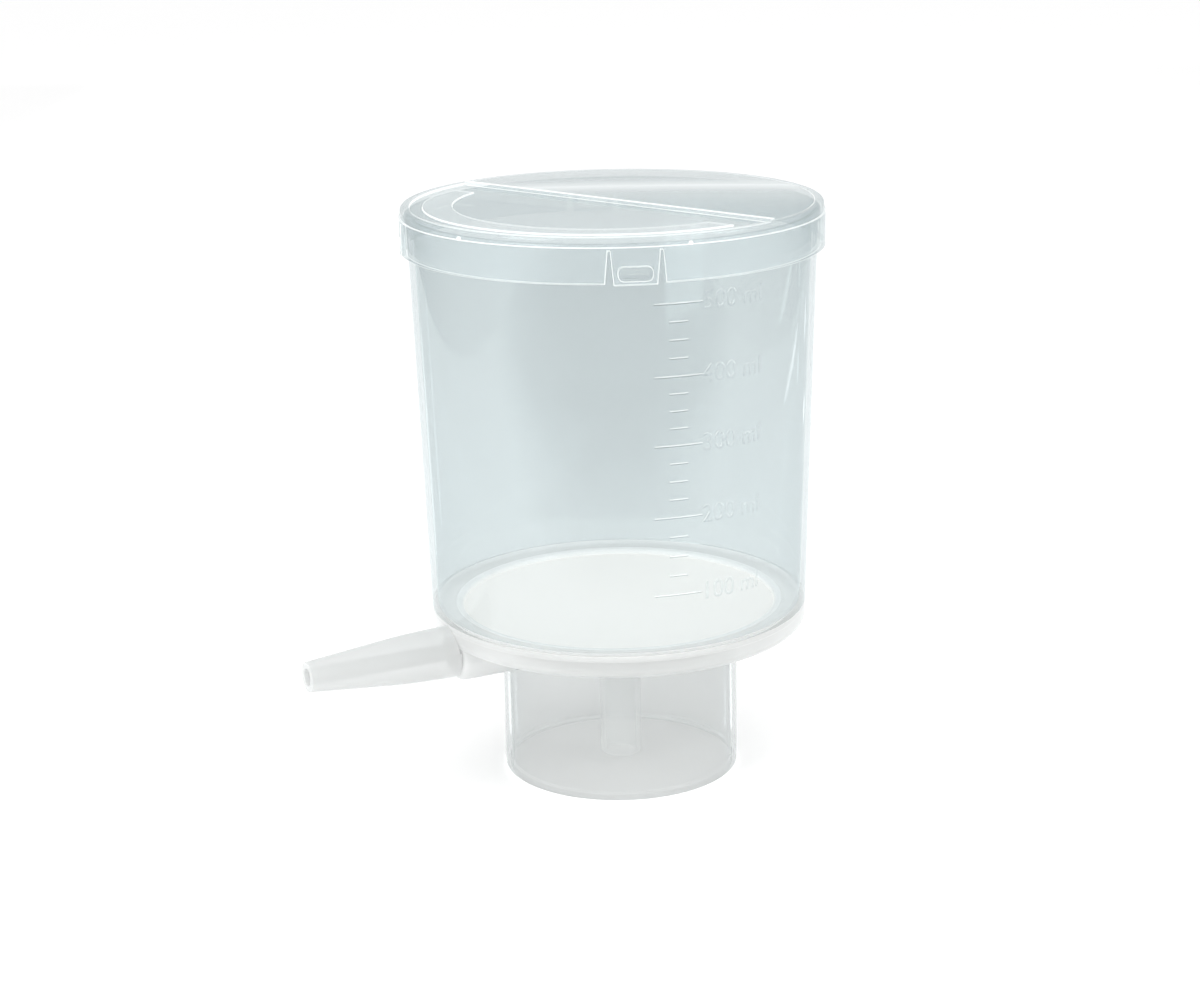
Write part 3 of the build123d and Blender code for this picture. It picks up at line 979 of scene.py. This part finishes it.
def hoseBoss():
    b = baseSize
    start, end, radius = b["collarInside"] + b["bossRooted"], b["bossFace"], b["bossRadius"]
    bm = alongOutlet([(start, 0), (start, radius), (end, radius), (end, 0)], {2: b["bossRound"]})
    cutOff(bm, (0, 0, b["collarTop"] + b["bossTop"]), (0, 0, 1), clear_outer=True)
    return bm


def plainRod(start, end, radius):
    return alongOutlet([(start, 0), (start, radius), (end, radius), (end, 0)], turns=baseSize["rodTurns"])


def floorDuct():
    # carries the bore from the drip tube to the collar's wall
    b = baseSize
    start, end = b["ductRooted"]
    return plainRod(b["drainMouth"] + start, b["collarInside"] + end, b["ductRadius"])


def vacuumPassage():
    # bore with the nozzle's socket at its outer end
    b = baseSize
    start, end = b["portAt"] - b["boreStart"], b["bossFace"] + past
    bore, socket = b["outletBore"], b["socketRadius"]
    points = [(start, 0), (start, bore), (socketEnd, bore), (socketEnd, socket), (end, socket), (end, 0)]
    return alongOutlet(points, turns=b["rodTurns"])


def gasketSeat():
    # ring wall and radial ribs under the dish
    b = baseSize
    low, high = b["seatHeight"], b["collarTop"] + b["ribRoot"]
    inner, outer = b["seatRing"], b["seatRing"] + b["seatRingWall"]
    return outlineBody([(inner, low), (outer, low), (outer, high), (inner, high)], {}, b["turns"])


def seatRibs():
    b = baseSize
    bm = bmesh.new()
    start, end = b["seatRing"] + b["seatRingWall"] / 2, (b["collarInside"] + b["collarOutside"]) / 2
    height = b["collarTop"] + b["ribRoot"] - b["seatHeight"]
    place = ((start + end) / 2, 0, b["seatHeight"] + height / 2)
    for rib in range(b["seatRibs"]):
        block(bm, (end - start, b["seatRingWall"], height), place, (rib + 0.5) * 360 / b["seatRibs"])
    return bm


def dishRibs():
    # long ribs, with shorter ones between as they spread
    b = baseSize
    bm = bmesh.new()
    low, high = b["floor"] - b["ribRoot"], padLow.z / mm
    end = membraneRadius / mm - b["seat"] + b["ribRoot"]
    for start, share in b["ribStarts"]:
        for rib in range(b["ribCount"]):
            block(bm, (end - start, b["ribWidth"], high - low), ((start + end) / 2, 0, (low + high) / 2),
                  (rib + share) * 360 / b["ribCount"])
    return bm


def portDrop():
    # opens the bore downwards, inside the collar
    b = baseSize
    high, low = b["outletHeight"], b["outletHeight"] - b["portDepth"]
    points = [(0, high), (b["portRadius"], high), (b["portRadius"], low), (0, low)]
    bm = outlineBody(points, {}, b["rodTurns"], closed=False)
    bmesh.ops.translate(bm, verts=bm.verts[:], vec=(-b["portAt"] * mm, 0, 0))
    return bm


def finishBase(bm, slots):
    # the drip tube gets painted light, the mouth's outer edge a painted highlight
    b = baseSize
    for face in bm.faces:
        reach = max(vert.co.to_2d().length for vert in face.verts) / mm
        top = max(vert.co.z for vert in face.verts) / mm
        atMouth = top < b["mouthBand"] + b["near"] and abs(face.normal.z) < 0.95
        if reach < b["tubeOutside"] + b["near"]:
            face.material_index = slots["drain"]
        elif atMouth and reach > b["collarOutside"] - 2 * b["near"]:
            face.material_index = slots["mouth"]
        else:
            face.material_index = slots["plain"]


base = smoothObject("base_moulding", baseForm(), *baseSurfacesAndLight.values())
for bm in (hoseBoss(), floorDuct(), gasketSeat(), seatRibs(), dishRibs()):
    combine(base, bm, "UNION")
for bm in (vacuumPassage(), portDrop()):
    combine(base, bm, "DIFFERENCE")
bm = withoutSlivers(base)
baseSlots = slotNumbers(baseSurfacesAndLight)
finishBase(bm, baseSlots)
replaceMesh(base, bm)
softEdges(base, baseSize["edgeSoftness"], brightSlot=baseSlots["bright"])
mount(base, "housing", "frosted_plastic", "base")
print("base made,", len(base.data.polygons), "faces")

# Nozzle
nozzleSize = {
    "rootRadius": 6.2,
    "waistRadius": 5.75,
    "waist": 12.0,  # from the shoulder
    "waistRound": 4.0,
    "tipRadius": 3.5,
    "rootRound": 0.5,
    "spigotRadius": 3.6,
    "spigotRooted": 1.8,
    "clearance": 0.1,
    "edgeSoftness": 0.12,
    "turns": 160,
}
nozzleTip = -nozzleLow.x / mm


def nozzleTaper():
    n = nozzleSize
    shoulder = baseSize["bossFace"]
    points = [
        (shoulder, 0),
        (shoulder, n["rootRadius"]),
        (shoulder + n["waist"], n["waistRadius"]),
        (nozzleTip, n["tipRadius"]),
        (nozzleTip, 0),
    ]
    return alongOutlet(points, {1: n["rootRound"], 2: n["waistRound"]}, n["turns"])


def flangeRoom():
    # what the flange takes out of the nozzle's shoulder
    low = baseSize["collarTop"] - nozzleSize["clearance"]
    high = low + 2 * nozzleSize["rootRadius"]
    reach = flangeRadius / mm + nozzleSize["clearance"]
    points = [(0, low), (reach, low), (reach, high), (0, high)]
    return outlineBody(points, {}, baseSize["turns"], closed=False)


def spigot():
    n = nozzleSize
    return plainRod(socketEnd + n["clearance"], baseSize["bossFace"] + n["spigotRooted"], n["spigotRadius"])


nozzle = smoothObject("nozzle_moulding", nozzleTaper(), frostedNozzle)
combine(nozzle, flangeRoom(), "DIFFERENCE")
combine(nozzle, spigot(), "UNION")
combine(nozzle, plainRod(socketEnd - past, nozzleTip + past, baseSize["outletBore"]), "DIFFERENCE")
replaceMesh(nozzle, withoutSlivers(nozzle))
softEdges(nozzle, nozzleSize["edgeSoftness"])
mount(nozzle, "housing", "frosted_plastic", "hose_nozzle")
print("nozzle made,", len(nozzle.data.polygons), "faces")

# Membrane, pad and gasket keep their shapes
for node, material in (("membrane", membraneWhite), ("support_pad", padFibre), ("neck_gasket", sealRubber)):
    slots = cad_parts[node].data.materials
    slots.clear()
    slots.append(material)

# Camera
view = {
    "distance": 555.6,
    "height": 227.3,
    "turn": -26.6,
    "yaw": 0.4157,
    "pitch": 16.209,
    "roll": -1.137,
    "lens": 73.27,
    "sensor": 36,
    "clipStart": 10,
}
stand = Matrix.Translation((0, -view["distance"] * mm, view["height"] * mm))
tilt = Matrix.Rotation(math.radians(90 - view["pitch"]), 4, "X")
aimed = turned(view["yaw"], 4) @ tilt @ turned(view["roll"], 4)
camera = bpy.data.objects.new("camera", bpy.data.cameras.new("camera"))
camera.data.lens = view["lens"]
camera.data.sensor_width = view["sensor"]
camera.data.clip_start = view["clipStart"] * mm
camera.matrix_world = turned(view["turn"], 4) @ stand @ aimed
bpy.context.scene.collection.objects.link(camera)
bpy.context.scene.camera = camera

# Light: a white studio, two soft boxes, and cards that only the plastic's reflections show
world = bpy.data.worlds.new("studio")
bpy.context.scene.world = world
world.use_nodes = True
background = world.node_tree.nodes["Background"]
background.inputs["Color"].default_value = white
background.inputs["Strength"].default_value = 1.0


def softbox(name, place, size, power):
    lamp = bpy.data.lights.new(name, "AREA")
    lamp.shape = "RECTANGLE"
    lamp.size, lamp.size_y = size
    lamp.energy = power
    made = bpy.data.objects.new(name, lamp)
    made.location = place
    made.rotation_euler = (objectMiddle - Vector(place)).to_track_quat("-Z", "Y").to_euler()
    bpy.context.scene.collection.objects.link(made)


objectMiddle = Vector((0, 0, 0.07))
softbox("leftBox", place=(-0.9, -0.3, 0.5), size=(0.5, 0.9), power=6)
softbox("rightBox", place=(0.6, -0.7, 0.6), size=(0.4, 0.8), power=4)

# in metres, the cards lie a little above the floor
card = {
    "near": 0.17,
    "fade": 0.1,
    "beside": 0.43,
    "halfSize": 1.5,
    "frontHeight": 0.002,
    "sideHeight": 0.003,
    "glintHeight": 0.005,
    "startColour": (0.9, 0.9, 0.9, 1),
    "colour": (0.02, 0.02, 0.02, 1),
    "leftColour": (0.45, 0.45, 0.45, 1),
    "rightColour": (0.68, 0.68, 0.68, 1),
}


def onlyReflected(name, bm, paint):
    made = smoothObject(name, bm, paint)
    made.visible_camera = made.visible_diffuse = made.visible_shadow = False
    return made


def matt(g, colour):
    return g.surface(g.node("ShaderNodeBsdfDiffuse", {}, {"Color": colour}))


def frontPaint():
    # dark, paler towards the object
    g = Graph("cardFade")
    ahead = g.along("Y", -math.radians(view["turn"]))
    dimming = g.between(ahead, -card["near"] / mm, -(card["near"] + card["fade"]) / mm)
    return matt(g, g.blendColour(dimming, card["startColour"], card["colour"]))


def square(halfSize):
    bm = bmesh.new()
    bmesh.ops.create_grid(bm, x_segments=2, y_segments=2, size=halfSize)
    return bm


def layCard(name, place, paint):
    bm = square(card["halfSize"])
    bmesh.ops.translate(bm, verts=bm.verts[:], vec=place)
    bmesh.ops.rotate(bm, verts=bm.verts[:], cent=(0, 0, 0), matrix=turned(view["turn"]))
    darkCard = onlyReflected(name, bm, paint)


sideways = card["halfSize"] + card["beside"]
layCard("cardFront", (0, -card["halfSize"] - card["near"], card["frontHeight"]), frontPaint())
layCard("cardLeft", (-sideways, 0, card["sideHeight"]), matt(Graph("cardLeft"), card["leftColour"]))
layCard("cardRight", (sideways, 0, card["sideHeight"]), matt(Graph("cardRight"), card["rightColour"]))

# narrow bright cards behind, for the glints in the wall: start, end and width in millimetres, strength
glints = (
    ((422, 135), (498, 168), 14, 2.8),
    ((302, 100), (338, 119), 12, 2.8),
    ((464, 56), (344, -54), 15, 3.2),
    ((-70, 158), (-122, 467), 16, 2.0),
    ((31, -14), (95, 18), 4, 3.0),
    ((-30, 16), (-41, 87), 4, 3.0),
)
for number, (start, end, width, strength) in enumerate(glints):
    start, end = Vector(start) * mm, Vector(end) * mm
    turn = math.degrees(math.atan2(end.y - start.y, end.x - start.x))
    place = ((start + end) / 2).to_3d() + Vector((0, 0, card["glintHeight"]))
    bm = bmesh.new()
    bmesh.ops.create_circle(bm, cap_ends=True, segments=24, radius=0.5)
    bmesh.ops.scale(bm, verts=bm.verts[:], vec=((end - start).length, width * mm, 1))
    bmesh.ops.rotate(bm, verts=bm.verts[:], cent=(0, 0, 0), matrix=turned(turn))
    bmesh.ops.translate(bm, verts=bm.verts[:], vec=place)
    name = "glint" + str(number)
    g = Graph(name)
    glow = g.surface(g.node("ShaderNodeEmission", {}, {"Strength": strength}))
    glint = onlyReflected(name, bm, glow)

# Floor
floorLook = {"halfSize": 6, "colour": (0.95, 0.95, 0.95, 1), "roughness": 0.8, "shine": 0.2, "glow": 0.03}
g = Graph("floorWhite")
floorPaint = g.surface(g.node("ShaderNodeBsdfPrincipled", {}, {
    "Base Color": floorLook["colour"],
    "Roughness": floorLook["roughness"],
    "Specular IOR Level": floorLook["shine"],
    "Emission Color": white,
    "Emission Strength": floorLook["glow"],
}))
floor = smoothObject("floor", square(floorLook["halfSize"]), floorPaint)

scene = bpy.context.scene
scene.view_settings.view_transform = "Standard"
scene.cycles.transparent_max_bounces = 48  # enough for all the clear walls in a line
print("camera, light and floor set")
